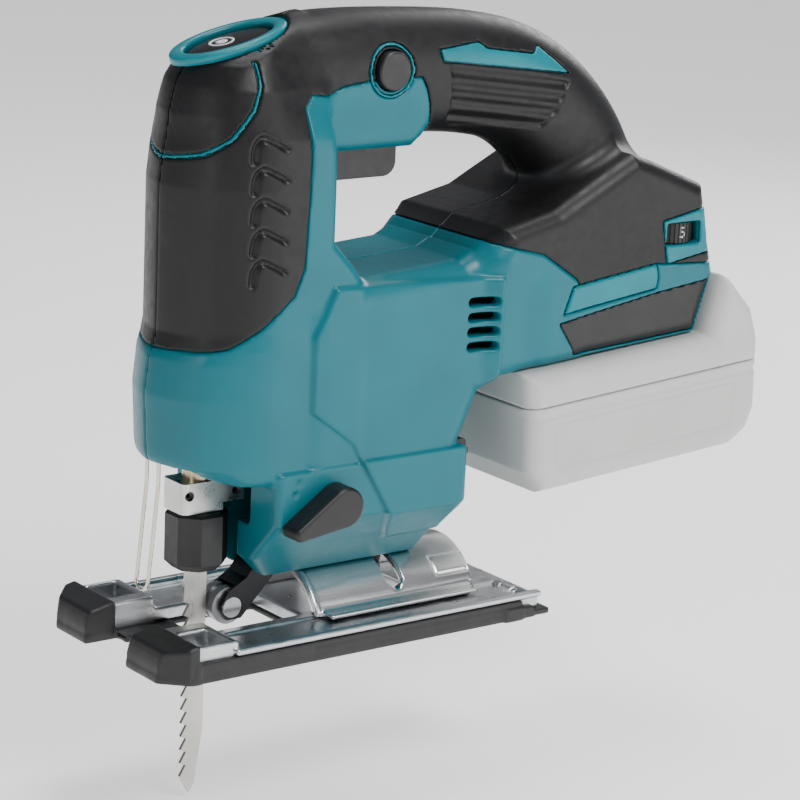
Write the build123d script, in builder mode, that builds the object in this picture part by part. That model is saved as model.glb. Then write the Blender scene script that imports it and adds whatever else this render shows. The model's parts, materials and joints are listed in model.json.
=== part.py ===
from build123d import *
import os
from math import cos, pi, radians, sin, sqrt, tan

# Cordless top-handle jigsaw with an 18 V slide-on battery, in millimetres.
# X runs from the blade to the battery, +Y is the tool's right-hand side, Z is up.
# The origin is on the blade line, in the plane of the sole.

os.makedirs("parts", exist_ok=True)

# ---- driving dimensions -------------------------------------------------------------
WALL = 2.8
GRIP = 1.2
SHOE_FRONT, SHOE_REAR = -33.7, 116.5
SHOE_HALF = 38.0
STROKE = 26.0
MODULE, PINION_TEETH, GEAR_TEETH = 0.8, 10, 51
ROTOR_Z = 88.0
CRANK_Z = ROTOR_Z + MODULE * (PINION_TEETH + GEAR_TEETH) / 2
CRANK_THROW = STROKE / 2
PLUNGER_X, PLUNGER_R = -0.8, 5.0
PLUNGER_LOW, PLUNGER_HIGH = 30.0, 152.0
BUSH_LENGTHS = ((82.0, 92.0), (142.0, 150.0))
BODY_HALF, REAR_HALF, GUARD_HALF = 30.0, 32.0, 14.0
HANDLE_HALF, HANDLE_RISE = 18.0, 20.0
SADDLE_R, SADDLE_WALL, SADDLE_FRONT, SADDLE_REAR = 21.5, 2.6, 33.0, 98.0
FOOT_FRONT, FOOT_REAR = 10.0, 83.0
BOLT_X = 67.0
ROLLER_X, ROLLER_Z, ROLLER_R = 9.8, 10.4, 6.2
ARM_X, ARM_Z = 30.0, 29.0
LEVER_X, LEVER_Z = 31.0, 49.0
LOCK_X, LOCK_Z, LOCK_R = 56.7, 183.1, 6.2
DIAL_X, DIAL_Y, DIAL_Z, DIAL_R = 171.2, -22.0, 124.1, 9.5
TOP_X, TOP_Z, TOP_TILT = 6.5, 192.5, 15.0
RAIL_X, RAIL_Z, RAIL_TILT = 110.0, 83.3, 4.0
WIRE_R, LOOP_HALF = 0.65, 3.4
WIRE_X, WIRE_FOOT_X, WIRE_KNEE_Z, WIRE_FOOT_Z = -17.6, -20.9, 54.0, 19.65
PACK_HALF, PACK_DEPTH = 37.0, 42.0
STATOR_LOW, STATOR_HIGH, STATOR_R, STATOR_BORE = 39.0, 66.0, 24.0, 14.2
MOTOR_RINGS = (40.0, 62.0)
CLEAR = 0.4

# ---- planes -------------------------------------------------------------------------
SIDE = Plane.XZ
RAIL = Plane((RAIL_X, 0, RAIL_Z), x_dir=(cos(radians(RAIL_TILT)), 0, sin(radians(RAIL_TILT))),
             z_dir=(-sin(radians(RAIL_TILT)), 0, cos(radians(RAIL_TILT))))
RAIL_SIDE = Plane(RAIL.origin, x_dir=RAIL.x_dir, z_dir=(0, -1, 0))
TOP = Plane((TOP_X, 0, TOP_Z), x_dir=(cos(radians(TOP_TILT)), 0, sin(radians(TOP_TILT))),
            z_dir=(-sin(radians(TOP_TILT)), 0, cos(radians(TOP_TILT))))

# ---- side outlines of the casing (X, Z) ---------------------------------------------
NOSE_UPPER = [(-18.5, 90), (-18.5, 150), (-16, 170), (-12, 181), (-5, 188.5), (8, 193.5),
              (24, 198), (31, 199.2), (31, 132), (39, 123.6), (42, 119), (42, 90)]
NOSE_LOWER = [(-20.5, 103), (-22.3, 88), (-21.3, 66), (-17, 60.5), (0, 56), (42, 55.5), (42, 103)]
NOSE_MIDDLE = 11.5
# Each column of the nose: side outline, reach forward, half-width, lowest and highest Z.
NOSE_COLUMNS = [(NOSE_UPPER, 30, 28.5, 85, 202), (NOSE_LOWER, 33.8, 29.5, 50, 108)]
NOSE_CROWN = [(-29.5, 50), (-29.5, 150), (-28.5, 165), (-24, 180), (-17, 191), (-8, 199),
              (8, 199), (17, 191), (24, 180), (28.5, 165), (29.5, 150), (29.5, 50)]
BODY = [(20, 112), (32, 118.5), (52, 119.3), (82, 121.5), (92, 126.7), (130, 132), (130, 85.5),
        (92, 82), (83, 62), (83, 55.5), (20, 55.5)]
REAR = [(92, 122), (97, 131), (117, 135.5), (127, 140.6), (150, 152), (159, 149), (181, 140),
        (184, 126), (188.5, 108.5), (181.8, 88), (92, 82)]
HANDLE_LINE = [(8, 176), (30, 180), (50, 181), (80, 180), (98, 178.3), (113, 175), (126, 168.5),
               (138, 158), (147, 145), (152, 130)]
GUARD = [(28, 176), (28, 157.5), (70.7, 157.5), (74.7, 165), (70.7, 176)]
FOOT_SECTION = [(9.2, 20), (20, 33), (30, 43), (30, 60)]
FOOT_SIDE = [(10, 62), (10, 29), (20, 19), (80, 19), (83, 40), (83, 62)]
GRIP_REGION = [(-40, 104), (-10, 102.5), (2, 106.5), (14, 116.5), (18, 126), (19.5, 174), (28, 174),
               (31.4, 176.4), (49, 180.3), (68.6, 180.4), (74.7, 165), (72, 150), (100, 145),
               (100, 132), (78, 132), (119.3, 118.6), (136, 107), (162, 110), (195, 112),
               (195, 215), (-40, 215)]
HANDLE_STRIPE = [(76, 188.6), (92, 190.3), (95.3, 188.1), (115, 185.4), (117.6, 187.9),
                 (130.7, 178.3), (110, 181), (88.6, 183.6), (77, 185)]
REAR_STRIPE = [(120.5, 101), (160.7, 105.9), (160.4, 109), (124, 109)]
RAIL_PANEL = [(119, 98), (160.7, 104.4), (186.5, 107.3), (180.4, 89.5), (127, 86.3)]
DIAL_FRAME = [(162, 128.8), (181.5, 132.5), (183.3, 117.1), (164.8, 114.1)]


def slab(points, half, inset=0.0, plane=SIDE):
    """An outline made solid on both sides of its plane."""
    depth = half - inset
    with BuildPart() as block:
        with BuildSketch(plane.offset(-depth)):
            Polygon(*points, align=None)
            if inset:
                offset(amount=-inset, kind=Kind.INTERSECTION)
        extrude(amount=2 * depth)
    return block.part


def nose_column(points, reach, half, low, high, inset):
    """The column round the plunger: rounded in plan, cut to its side and front outlines."""
    square_part = 30
    with BuildPart() as column:
        with BuildSketch(Plane.XY.offset(low)):
            with Locations((NOSE_MIDDLE, 0)):
                Ellipse(reach - inset, half - inset)
            with Locations((NOSE_MIDDLE + square_part / 2, 0)):
                Rectangle(square_part, 2 * (half - inset))
        extrude(amount=high - low)
        add(slab(points, half + 1, inset), mode=Mode.INTERSECT)
        add(slab(NOSE_CROWN, 60, inset, Plane.YZ), mode=Mode.INTERSECT)
    return column.part


def handle_bar(inset):
    """The hand grip, an oval swept along its bent centre line."""
    with BuildPart() as bar:
        with BuildLine(SIDE) as line:
            Spline(*HANDLE_LINE)
        start = Plane(origin=line.line @ 0, x_dir=(0, 1, 0), z_dir=line.line % 0)
        with BuildSketch(start):
            Ellipse(HANDLE_HALF - inset, HANDLE_RISE - inset)
        sweep()
    return bar.part


def foot_block(inset):
    """The foot over the saddle, hollowed below to turn round the saddle."""
    low_y, low_z = FOOT_SECTION[0]
    with BuildPart() as foot:
        with BuildSketch(Plane.YZ.offset(FOOT_FRONT)):
            with BuildLine():
                Polyline(*FOOT_SECTION, *[(-y, z) for y, z in reversed(FOOT_SECTION)])
                ThreePointArc((-low_y, low_z), (0, sqrt(low_y ** 2 + low_z ** 2)), (low_y, low_z))
            make_face()
            if inset:
                offset(amount=-inset, kind=Kind.INTERSECTION)
        extrude(amount=FOOT_REAR - FOOT_FRONT)
        add(slab(FOOT_SIDE, 40, inset), mode=Mode.INTERSECT)
    return foot.part


def envelope(inset):
    """The casing's outer form, or its hollow when drawn in by the wall."""
    with BuildPart() as form:
        for column in NOSE_COLUMNS:
            add(nose_column(*column, inset))
        add(slab(BODY, BODY_HALF, inset))
        add(slab(REAR, REAR_HALF, inset))
        add(slab(GUARD, GUARD_HALF, inset))
        add(handle_bar(inset))
        add(foot_block(inset))
    return form.part


form = envelope(0)
grip_core = envelope(GRIP)
hollow = envelope(WALL)

with BuildPart() as outer_layer:
    add(form)
    add(grip_core, mode=Mode.SUBTRACT)


def skin(points, low=0.0):
    """The outer layer of the casing inside a side outline, from |y| = low outwards."""
    with BuildPart() as layer:
        add(slab(points, 45))
        add(outer_layer.part, mode=Mode.INTERSECT)
        if low:
            Box(400, 2 * low, 500, mode=Mode.SUBTRACT)
    return layer.part


def cut_box(x, y, z, mode=Mode.SUBTRACT):
    """A box between two values along each axis, cut away or added."""
    with Locations(((x[0] + x[1]) / 2, (y[0] + y[1]) / 2, (z[0] + z[1]) / 2)):
        Box(x[1] - x[0], y[1] - y[0], z[1] - z[0], mode=mode)


def rod(centre, radius, low, high, axis="Y", mode=Mode.ADD):
    """A round bar along one axis, between two values of that axis."""
    middle = (low + high) / 2
    spots = {"X": (middle, *centre), "Y": (centre[0], middle, centre[1]), "Z": (*centre, middle)}
    turns = {"X": (0, 90, 0), "Y": (90, 0, 0), "Z": (0, 0, 0)}
    with Locations(Location(spots[axis], turns[axis])):
        Cylinder(radius, abs(high - low), mode=mode)


# ---- trims on the casing ------------------------------------------------------------
DIAL_WINDOW = ((163.6, 179), (-40, -20), (120.1, 128.1))

with BuildPart() as side_trims:
    add(skin(HANDLE_STRIPE, 8))
    add(skin(REAR_STRIPE, 20))

with BuildPart() as rail_panels:
    add(skin(RAIL_PANEL, 24))

with BuildPart() as dial_frame:
    add(skin(DIAL_FRAME, 20))
    cut_box((100, 200), (0, 50), (90, 150))
    cut_box(*DIAL_WINDOW)

# ---- casing shells ------------------------------------------------------------------
# Each screw is (x, z, half-width of the casing there); it enters from the right side.
SCREWS = [(40, 58.5, 30), (76, 50, 30), (48, 48, 30), (14, 168, 27), (66, 194, 13), (112, 166, 15),
          (146, 138, 31), (106, 126, 30), (160, 139, 31)]
HEAD_R, HEAD_DEPTH, SHANK_R = 3.3, 3.0, 1.75
BOSS_R = 4.6
BEZEL, BUTTON = (20.5, 13.5), (15.0, 9.0)
TRIGGER_HALF = 8.0
CLAMP_SPACE = ((-14, 18), (-14, 14), (50, 81))
ARM_SLOT = ((4, 37), (-7, 7), (10, 57))
TRIGGER_SLOT = ((31.4, 67.2), (-TRIGGER_HALF - 0.4, TRIGGER_HALF + 0.4), (150, 172))
VENT_X, VENT_LOW, VENT_PITCH, VENT_HEIGHT, VENT_COUNT = (82.3, 93.4), 92.0, 5.0, 3.2, 4
# The rail's channel: each step is (length, width, lowest and highest above the rail).
CHANNEL = [(100, 41, -5, 13.5), (100, 47, 2.5, 13.5)]
CONTACT_U, CONTACT_WINDOW, CONTACT_ROWS = 17.0, (26, 38), (-14, 0, 14)

with BuildPart() as openings:
    # Clamp hollow under the nose, and the slot of the roller arm.
    cut_box(*CLAMP_SPACE, Mode.ADD)
    cut_box(*ARM_SLOT, Mode.ADD)
    # Trigger slot, side button bore, dial window, lever bore, pin bore and bolt bore.
    cut_box(*TRIGGER_SLOT, Mode.ADD)
    rod((LOCK_X, LOCK_Z), LOCK_R + 0.2, -40, 40)
    cut_box(DIAL_WINDOW[0], (-40, -26), DIAL_WINDOW[2], Mode.ADD)
    rod((LEVER_X, LEVER_Z), 4.06, -40, -14)
    rod((ARM_X, ARM_Z), 2.5, -10.5, 10.5)
    rod((BOLT_X, 0), 2.5, 10, 34, "Z")
    for side in (-1, 1):
        rod((WIRE_X, side * LOOP_HALF), WIRE_R, 58, 68, "Z")
        for slot in range(VENT_COUNT):
            low = VENT_LOW + VENT_PITCH * slot
            cut_box(VENT_X, sorted((side * 20, side * 40)), (low, low + VENT_HEIGHT), Mode.ADD)
    # Pocket and bore of the top button.
    with BuildSketch(TOP.offset(-1.5)):
        Ellipse(BEZEL[0] + 0.1, BEZEL[1] + 0.1)
    extrude(amount=20)
    with BuildSketch(TOP.offset(-12)):
        Ellipse(BUTTON[0] + 0.3, BUTTON[1] + 0.3)
    extrude(amount=15)
    # Battery rail: a T-shaped channel, open to the rear, and the contact window above it.
    for length, width, low, high in CHANNEL:
        with BuildSketch(RAIL.offset(low)):
            with Locations((length / 2, 0)):
                Rectangle(length, width)
        extrude(amount=high - low)
    with BuildSketch(RAIL.offset(10)):
        with Locations((CONTACT_U, 0)):
            Rectangle(*CONTACT_WINDOW)
    extrude(amount=10)
    # Screw bores, with the heads sunk from the right side.
    for x, z, half in SCREWS:
        rod((x, z), SHANK_R, -8, half)
        rod((x, z), HEAD_R + 0.1, half - 6, half + 12)

with BuildPart() as grips:
    add(skin(GRIP_REGION))
    add(side_trims.part, mode=Mode.SUBTRACT)
    add(dial_frame.part, mode=Mode.SUBTRACT)
    add(openings.part, mode=Mode.SUBTRACT)

with BuildPart() as inner_frames:
    # Solid ground inside the casing for the battery rail, the top button, screws and pins.
    with BuildSketch(RAIL.offset(-1)):
        with Locations((39, 0)):
            Rectangle(92, 54)
    extrude(amount=17.5)
    with BuildSketch(TOP.offset(-7)):
        Ellipse(BEZEL[0] + 1, BEZEL[1] + 1)
    extrude(amount=12)
    for x, z, half in SCREWS:
        rod((x, z), BOSS_R, -half, half)
    for near in MOTOR_RINGS:
        with BuildSketch(Plane.YZ.offset(near)):
            with Locations((0, ROTOR_Z)):
                Rectangle(2 * BODY_HALF, 66)
                Circle(STATOR_R, mode=Mode.SUBTRACT)
        extrude(amount=3)
    for y in (7, -10.5):
        cut_box((22, 40), (y, y + 3.5), (20, 44), mode=Mode.ADD)
    rod((BOLT_X, 0), 6, 18, 36, "Z")
    add(hollow, mode=Mode.INTERSECT)

with BuildPart() as casing:
    add(form)
    add(hollow, mode=Mode.SUBTRACT)
    add(inner_frames.part)
    for trim in (grips, side_trims, rail_panels, dial_frame):
        add(trim.part, mode=Mode.SUBTRACT)
    add(openings.part, mode=Mode.SUBTRACT)

with BuildPart() as left_housing:
    add(casing.part)
    split(bisect_by=SIDE, keep=Keep.TOP)

with BuildPart() as right_housing:
    add(casing.part)
    split(bisect_by=SIDE, keep=Keep.BOTTOM)

with BuildPart() as left_grip:
    add(grips.part)
    split(bisect_by=SIDE, keep=Keep.TOP)

with BuildPart() as right_grip:
    add(grips.part)
    split(bisect_by=SIDE, keep=Keep.BOTTOM)

with BuildPart() as housing_screws:
    for x, z, half in SCREWS:
        rod((x, z), SHANK_R, -8, half - 6)
        rod((x, z), HEAD_R, half - 6, half - 6 + HEAD_DEPTH)
        with BuildSketch(Plane.XZ.offset(-(half - 6 + HEAD_DEPTH))):
            with Locations((x, z)):
                RegularPolygon(1.7, 6)
        extrude(amount=1.8, mode=Mode.SUBTRACT)

# ---- top button ---------------------------------------------------------------------
with BuildPart() as top_bezel:
    with BuildSketch(TOP.offset(-1.5)):
        Ellipse(*BEZEL)
        Ellipse(BUTTON[0] + 0.3, BUTTON[1] + 0.3, mode=Mode.SUBTRACT)
    extrude(amount=2.9)

with BuildPart() as mode_button:
    with BuildSketch(TOP.offset(-4)):
        Ellipse(*BUTTON)
    extrude(amount=4.6)

# ---- wire guard ---------------------------------------------------------------------
with BuildPart() as wire_guard:
    with BuildLine() as wire_line:
        half_loop = [(WIRE_X, 68), (WIRE_X, WIRE_KNEE_Z), (WIRE_FOOT_X, WIRE_FOOT_Z)]
        near = [(x, -LOOP_HALF, z) for x, z in half_loop]
        far = [(x, LOOP_HALF, z) for x, z in reversed(half_loop)]
        FilletPolyline(*near, *far, radius=[14, 3.35, 3.35, 14])
    with BuildSketch(Plane(near[0], z_dir=(0, 0, -1))):
        Circle(WIRE_R)
    sweep()

# ---- drive --------------------------------------------------------------------------
GEAR_FRONT, GEAR_WIDTH = 14.0, 6.0
PLATE_FRONT, PLATE_REAR = 25.0, 34.0
PIN_TIP, PIN_R = 10.0, 3.0
YOKE_FRONT, YOKE_REAR, YOKE_HALF, YOKE_RISE = -6.0, 9.4, 19.5, 6.0
YOKE_Z = CRANK_Z - CRANK_THROW
CRANK_SHAFT_R, MOTOR_SHAFT_R = 5.0, 2.5
BEARING_SIZES = {"crank": (9.5, 26.0, 34.0), "motor": (8.0, 28.0, 33.0), "rear": (8.0, 78.0, 83.0)}

with BuildPart() as plunger_bushes:
    for low, high in BUSH_LENGTHS:
        rod((PLUNGER_X, 0), 8, low, high, "Z")
        rod((PLUNGER_X, 0), PLUNGER_R + 0.03, low, high, "Z", Mode.SUBTRACT)

with BuildPart() as gear_housing:
    cut_box((PLATE_FRONT, PLATE_REAR), (-24.6, 24.6), (74, 134), Mode.ADD)
    for low, high in BUSH_LENGTHS:
        cut_box((PLUNGER_X - 9.5, 10), (-12, 12), (low, high), Mode.ADD)
        cut_box((4, 10), (-24.6, 24.6), (low, high), Mode.ADD)
    for side in (-1, 1):
        cut_box((4, PLATE_FRONT), sorted((side * 22.2, side * 24.6)), (80, 150), Mode.ADD)
    rod((PLUNGER_X, 0), 8, 80, 152, "Z", Mode.SUBTRACT)
    for name, height in (("crank", CRANK_Z), ("motor", ROTOR_Z)):
        radius, low, high = BEARING_SIZES[name]
        rod((0, height), radius, low, high, "X", Mode.SUBTRACT)
        rod((0, height), radius - 2, PLATE_FRONT, PLATE_REAR, "X", Mode.SUBTRACT)
    add(hollow, mode=Mode.INTERSECT)


def ring_bearing(centre, name, bore):
    """A ball bearing drawn as an outer ring, an inner ring and the balls' band between."""
    radius, low, high = BEARING_SIZES[name]
    rod(centre, radius, low, high, "X")
    rod(centre, bore, low, high, "X", Mode.SUBTRACT)
    for face in (low, high - 0.6):
        with BuildSketch(Plane.YZ.offset(face)) as groove:
            with Locations(centre):
                Circle(radius - 1.6)
                Circle(bore + 1.3, mode=Mode.SUBTRACT)
        extrude(groove.sketch, amount=0.6, mode=Mode.SUBTRACT)


with BuildPart() as crank_bearing:
    ring_bearing((0, CRANK_Z), "crank", CRANK_SHAFT_R + 0.03)

with BuildPart() as front_motor_bearing:
    ring_bearing((0, ROTOR_Z), "motor", MOTOR_SHAFT_R + 0.03)

with BuildPart() as rear_motor_bearing:
    ring_bearing((0, ROTOR_Z), "rear", MOTOR_SHAFT_R + 0.03)


def toothed_wheel(centre, teeth, low, high, start):
    """A spur gear with straight-flanked teeth, the first of them at the start angle."""
    pitch_r = MODULE * teeth / 2
    root, tip = pitch_r - 1.2 * MODULE, pitch_r + 0.9 * MODULE
    with BuildSketch(Plane.YZ.offset(low)) as profile:
        with Locations(centre):
            Circle(root)
            with PolarLocations((root + tip) / 2 - 0.2, teeth, start_angle=start):
                Trapezoid(0.58 * pi * MODULE, tip - root + 0.4, 72, rotation=-90)
    extrude(profile.sketch, amount=high - low)


with BuildPart() as crank_gear:
    toothed_wheel((0, CRANK_Z), GEAR_TEETH, GEAR_FRONT, GEAR_FRONT + GEAR_WIDTH, -90)
    rod((0, CRANK_Z), CRANK_SHAFT_R, GEAR_FRONT, GEAR_FRONT + GEAR_WIDTH, "X", Mode.SUBTRACT)
    rod((0, CRANK_Z - CRANK_THROW), PIN_R, GEAR_FRONT, GEAR_FRONT + GEAR_WIDTH, "X", Mode.SUBTRACT)

with BuildPart() as crank_pin:
    rod((0, CRANK_Z - CRANK_THROW), PIN_R, PIN_TIP, GEAR_FRONT + GEAR_WIDTH, "X")

with BuildPart() as crank_shaft:
    rod((0, CRANK_Z), CRANK_SHAFT_R, GEAR_FRONT, PLATE_REAR + 1, "X")
    rod((0, CRANK_Z), CRANK_SHAFT_R + 2, PLATE_REAR + 0.3, PLATE_REAR + 2.3, "X")

with BuildPart() as counterweight:
    face = GEAR_FRONT + GEAR_WIDTH
    rod((0, CRANK_Z), 19, face, face + 3.5, "X")
    cut_box((face, face + 4), (-20, 20), (CRANK_Z - 20, CRANK_Z + 2))
    rod((0, CRANK_Z), CRANK_SHAFT_R + 0.5, face, face + 4, "X", Mode.SUBTRACT)

with BuildPart() as motor_shaft:
    rod((0, ROTOR_Z), MOTOR_SHAFT_R, GEAR_FRONT - 0.5, 84, "X")

with BuildPart() as pinion:
    toothed_wheel((0, ROTOR_Z), PINION_TEETH, GEAR_FRONT - 0.2, GEAR_FRONT + GEAR_WIDTH + 0.4,
                  90 + 180 / PINION_TEETH)
    rod((0, ROTOR_Z), MOTOR_SHAFT_R, 10, 24, "X", Mode.SUBTRACT)

ROTOR_R, ROTOR_LOW, ROTOR_HIGH = 13.5, 38.0, 67.0

with BuildPart() as rotor_core:
    rod((0, ROTOR_Z), ROTOR_R, ROTOR_LOW, ROTOR_HIGH, "X")
    rod((0, ROTOR_Z), MOTOR_SHAFT_R, ROTOR_LOW, ROTOR_HIGH, "X", Mode.SUBTRACT)

FAN_FRONT, FAN_REAR, FAN_R, FAN_BLADES = 69.0, 76.0, 21.5, 15

with BuildPart() as cooling_fan:
    rod((0, ROTOR_Z), FAN_R, FAN_FRONT, FAN_FRONT + 1.2, "X")
    with BuildSketch(Plane.YZ.offset(FAN_FRONT + 1.2)):
        with Locations((0, ROTOR_Z)):
            with PolarLocations(FAN_R * 0.68, FAN_BLADES):
                Rectangle(FAN_R * 0.5, 1.2, rotation=20)
    extrude(amount=FAN_REAR - FAN_FRONT - 1.2)
    rod((0, ROTOR_Z), 5, FAN_FRONT, FAN_REAR, "X")
    rod((0, ROTOR_Z), MOTOR_SHAFT_R, FAN_FRONT, FAN_REAR, "X", Mode.SUBTRACT)

with BuildPart() as motor_stator:
    with BuildSketch(Plane.YZ.offset(STATOR_LOW)):
        with Locations((0, ROTOR_Z)):
            Circle(STATOR_R)
            Circle(STATOR_R - 3, mode=Mode.SUBTRACT)
            with PolarLocations((STATOR_R + STATOR_BORE) / 2 - 0.5, 6):
                Rectangle(STATOR_R - STATOR_BORE - 1, 5)
    extrude(amount=STATOR_HIGH - STATOR_LOW)

with BuildPart() as stator_windings:
    with BuildSketch(Plane.YZ.offset(STATOR_LOW + 3)):
        with Locations((0, ROTOR_Z)):
            with PolarLocations(17.6, 6):
                Rectangle(5.2, 9)
                Rectangle(5.6, 5, mode=Mode.SUBTRACT)
    extrude(amount=STATOR_HIGH - STATOR_LOW - 6)

with BuildPart() as motor_end_plate:
    low, high = BEARING_SIZES["rear"][1:]
    with BuildSketch(Plane.YZ.offset(low)):
        with Locations((0, ROTOR_Z)):
            Circle(10.5)
            Rectangle(60, 6)
            Circle(BEARING_SIZES["rear"][0], mode=Mode.SUBTRACT)
    extrude(amount=high - low)
    add(hollow, mode=Mode.INTERSECT)

# ---- plunger, blade and clamp -------------------------------------------------------
BLADE_THICK, BLADE_FRONT, BLADE_BACK, BLADE_TIP, SHANK_TOP = 1.2, -5.0, 3.3, -53.0, 46.0
TOOTH_PITCH, TOOTH_DEPTH, TOOTH_COUNT, TOOTH_TOP = 4.6, 2.2, 13, 13.0
CLAMP_LOW, CLAMP_HIGH = 44.0, 54.0
SLEEVE_LOW, SLEEVE_HIGH, SLEEVE_R = 24.5, 43.7, 10.2

with BuildPart() as plunger:
    rod((PLUNGER_X, 0), PLUNGER_R, PLUNGER_LOW, PLUNGER_HIGH, "Z")
    cut_box((PLUNGER_X - 3.6, PLUNGER_X + 3.6), (-0.62, 0.62), (PLUNGER_LOW - 1, SHANK_TOP + 0.1))
    rod((PLUNGER_X, 0), 3, 60, PLUNGER_HIGH, "Z", Mode.SUBTRACT)

with BuildPart() as scotch_yoke:
    cut_box((YOKE_FRONT, YOKE_REAR), (-YOKE_HALF, YOKE_HALF),
            (YOKE_Z - YOKE_RISE, YOKE_Z + YOKE_RISE), Mode.ADD)
    fillet(scotch_yoke.edges().filter_by(Axis.X), 3)
    rod((PLUNGER_X, 0), PLUNGER_R, YOKE_Z - 7, YOKE_Z + 7, "Z", Mode.SUBTRACT)
    cut_box((PLUNGER_X + PLUNGER_R + 0.2, YOKE_REAR), (-16.5, 16.5),
            (YOKE_Z - PIN_R - 0.1, YOKE_Z + PIN_R + 0.1))

with BuildPart() as blade:
    with BuildSketch(SIDE.offset(-BLADE_THICK / 2)):
        with BuildLine():
            points = [(PLUNGER_X - 3.5, SHANK_TOP), (PLUNGER_X - 3.5, 24), (BLADE_FRONT, 18),
                      (BLADE_FRONT, TOOTH_TOP)]
            for tooth in range(TOOTH_COUNT):
                z = TOOTH_TOP - tooth * TOOTH_PITCH
                points += [(BLADE_FRONT + TOOTH_DEPTH, z - 1), (BLADE_FRONT, z - TOOTH_PITCH)]
            points += [(BLADE_FRONT + 2, BLADE_TIP + 3), (-1.5, BLADE_TIP), (0.5, BLADE_TIP + 3),
                       (BLADE_BACK, BLADE_TIP + 22), (BLADE_BACK, 24),
                       (PLUNGER_X + 3.5, 27), (PLUNGER_X + 3.5, SHANK_TOP)]
            Polyline(*points, close=True)
        make_face()
    extrude(amount=BLADE_THICK)

CLAMP_BOX = ((-10.0, 14.0), (-6.4, 6.4), (CLAMP_LOW, CLAMP_HIGH))

with BuildPart() as clamp_block:
    cut_box(*CLAMP_BOX, mode=Mode.ADD)
    fillet(clamp_block.edges().filter_by(Axis.Z), 2)
    rod((PLUNGER_X, 0), PLUNGER_R, CLAMP_LOW, CLAMP_HIGH, "Z", Mode.SUBTRACT)
    cut_box((4, 14), (-0.8, 0.8), (CLAMP_LOW, CLAMP_HIGH))
    cut_box((5, 14), (-7, 7), (CLAMP_LOW, CLAMP_LOW + 2.5))
    for x in (-7.6, 10):
        rod((x, CLAMP_LOW + 6), 1.6, -7, 7, mode=Mode.SUBTRACT)

with BuildPart() as clamp_screws:
    for x in (-7.6, 10):
        rod((x, CLAMP_LOW + 6), 1.6, -5.2, 6.4)
        with BuildSketch(Plane.XZ.offset(5.2)):
            with Locations((x, CLAMP_LOW + 6)):
                RegularPolygon(0.9, 6)
        extrude(amount=-1.2, mode=Mode.SUBTRACT)

with BuildPart() as clamp_sleeve:
    with BuildSketch(Plane.XY.offset(SLEEVE_LOW)):
        with Locations((PLUNGER_X, 0)):
            RegularPolygon(SLEEVE_R, 8, rotation=22.5)
    extrude(amount=SLEEVE_HIGH - SLEEVE_LOW)
    chamfer(clamp_sleeve.edges().group_by(Axis.Z)[0], 2.4)
    chamfer(clamp_sleeve.edges().group_by(Axis.Z)[-1], 1)
    rod((PLUNGER_X, 0), PLUNGER_R + 0.1, SLEEVE_LOW - 1, SLEEVE_HIGH + 1, "Z", Mode.SUBTRACT)

# ---- orbital gear -------------------------------------------------------------------
with BuildPart() as roller_arm:
    with BuildSketch(SIDE.offset(-5.4)):
        with BuildLine():
            Polyline((ROLLER_X - 1.5, ROLLER_Z - 4.4), (ROLLER_X + 4, ROLLER_Z - 4.4),
                     (ARM_X + 0.5, ARM_Z - 5.5), (ARM_X + 5.2, ARM_Z - 1), (ARM_X + 3, ARM_Z + 5),
                     (ARM_X - 3, ARM_Z + 5), (ROLLER_X + 6, ROLLER_Z + 9), (ROLLER_X - 1, ROLLER_Z + 5),
                     (ROLLER_X - 3.5, ROLLER_Z + 1), close=True)
        make_face()
    extrude(amount=10.8)
    rod((ROLLER_X, ROLLER_Z), ROLLER_R + 0.8, -4.1, 4.1, mode=Mode.SUBTRACT)
    cut_box((-5, ROLLER_X + 2), (-4.1, 4.1), (0, 30))
    rod((ROLLER_X, ROLLER_Z), 2.5, -10, 10, mode=Mode.SUBTRACT)
    rod((ARM_X, ARM_Z), 2.53, -10, 10, mode=Mode.SUBTRACT)

with BuildPart() as roller_pin:
    rod((ROLLER_X, ROLLER_Z), 2.5, -5.4, 5.4)
    for side in (-1, 1):
        rod((ROLLER_X, ROLLER_Z), 3.4, *sorted((side * 5.4, side * 6.3)))

with BuildPart() as roller:
    rod((ROLLER_X, ROLLER_Z), ROLLER_R, -3.9, 3.9)
    rod((ROLLER_X, ROLLER_Z), ROLLER_R + 1, -1.1, 1.1, mode=Mode.SUBTRACT)
    rod((ROLLER_X, ROLLER_Z), ROLLER_R - 0.8, -3.9, 3.9)
    rod((ROLLER_X, ROLLER_Z), 2.53, -3.9, 3.9, mode=Mode.SUBTRACT)

with BuildPart() as roller_arm_pin:
    rod((ARM_X, ARM_Z), 2.5, -10.5, 10.5)

LEVER_FACE, LEVER_PROUD = -BODY_HALF - 0.4, 8.0

with BuildPart() as orbital_lever:
    with BuildSketch(SIDE.offset(-LEVER_FACE)):
        with Locations((LEVER_X, LEVER_Z)):
            Circle(6.6)
        with Locations((LEVER_X - 17, LEVER_Z - 6.5)):
            Circle(2.4)
        make_hull()
    extrude(amount=LEVER_PROUD)
    fillet(orbital_lever.edges().group_by(Axis.Y)[0], 1.5)
    rod((LEVER_X, LEVER_Z), 4, -16, LEVER_FACE)

with BuildPart() as orbital_cam:
    rod((LEVER_X, LEVER_Z), 6.5, -15.5, -12)
    rod((LEVER_X, LEVER_Z), 4, -16, -12, mode=Mode.SUBTRACT)
    cut_box((LEVER_X - 8, LEVER_X + 8), (-17, -11), (LEVER_Z - 8, LEVER_Z - 4.6))

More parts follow.
